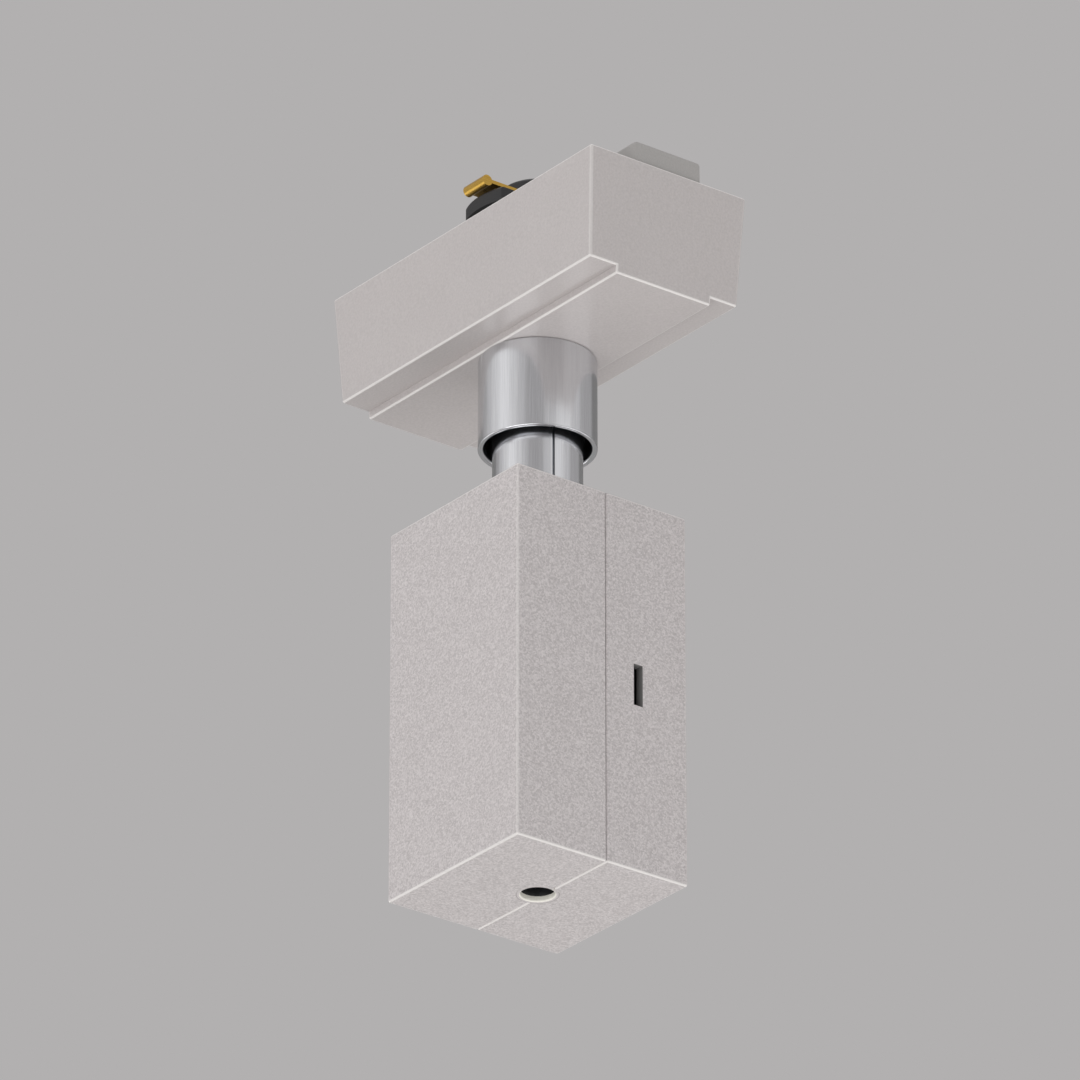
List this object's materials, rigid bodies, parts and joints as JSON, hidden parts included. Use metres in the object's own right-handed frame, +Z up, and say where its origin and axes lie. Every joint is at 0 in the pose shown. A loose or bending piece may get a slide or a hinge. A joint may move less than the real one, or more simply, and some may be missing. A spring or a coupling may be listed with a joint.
{
  "type": "track light adapter",
  "caption": "Mains track adapter for a pendant lamp: tapered head with a turning lock and contacts, swivel stem with bright collar, and a square wiring box with a cord hole.",
  "frame": {"origin": "centre of the head's top rim, which meets the underside of the track", "axes": "+Z up into the track, +X along the track, +Y across it towards the side of the lock lever"},
  "size_m": [0.0656, 0.0329, 0.1179],
  "materials": {
    "grey_lacquer": "moulded plastic with a warm light grey metallic lacquer",
    "grey_moulding": "plain grey moulded plastic",
    "black_moulding": "black glass-filled plastic",
    "pale_moulding": "natural white plastic",
    "bright_plate": "bright nickel and chrome plate",
    "zinc_plate": "zinc-plated steel",
    "brass": "bare brass",
    "copper": "bare copper alloy strip",
    "brown_lead": "brown lead insulation",
    "blue_lead": "blue lead insulation",
    "green_lead": "green lead insulation"
  },
  "bodies": {
    "head": {"adapter_housing": "grey_lacquer", "contact_carrier": "grey_moulding", "upper_washer": "pale_moulding", "friction_washer": "pale_moulding", "collar": "bright_plate", "carrier_screws": "zinc_plate", "stem_nipple": "zinc_plate", "stem_washer": "zinc_plate", "stem_nut": "zinc_plate", "collar_nut": "zinc_plate", "stop_washer": "zinc_plate", "retaining_nut": "zinc_plate", "earth_contact": "copper"},
    "lock": {"lock_rotor": "black_moulding", "lock_lever": "black_moulding", "lever_clip": "zinc_plate", "contact_live": "brass", "contact_neutral": "brass"},
    "box": {"swivel_tube": "zinc_plate", "neck_sleeve": "bright_plate", "front_shell": "grey_lacquer", "back_shell": "grey_lacquer", "terminal_block": "pale_moulding", "terminal_tubes": "brass", "terminal_screws": "zinc_plate", "wire_live": "brown_lead", "wire_neutral": "blue_lead", "wire_earth": "green_lead", "cord_bush": "pale_moulding", "cord_clamp": "pale_moulding", "cord_clamp_screws": "zinc_plate"}
  },
  "joints": [
    {"name": "lock_turn", "type": "hinge", "parent": "head", "child": "lock", "pos_m": [0, 0, 0], "axis": [0, 0, 1], "range_deg": [-90, 0]},
    {"name": "box_swivel", "type": "hinge", "parent": "head", "child": "box", "pos_m": [0, 0, -0.04], "axis": [0, 0, 1], "range_deg": [-164, 164]}
  ]
}
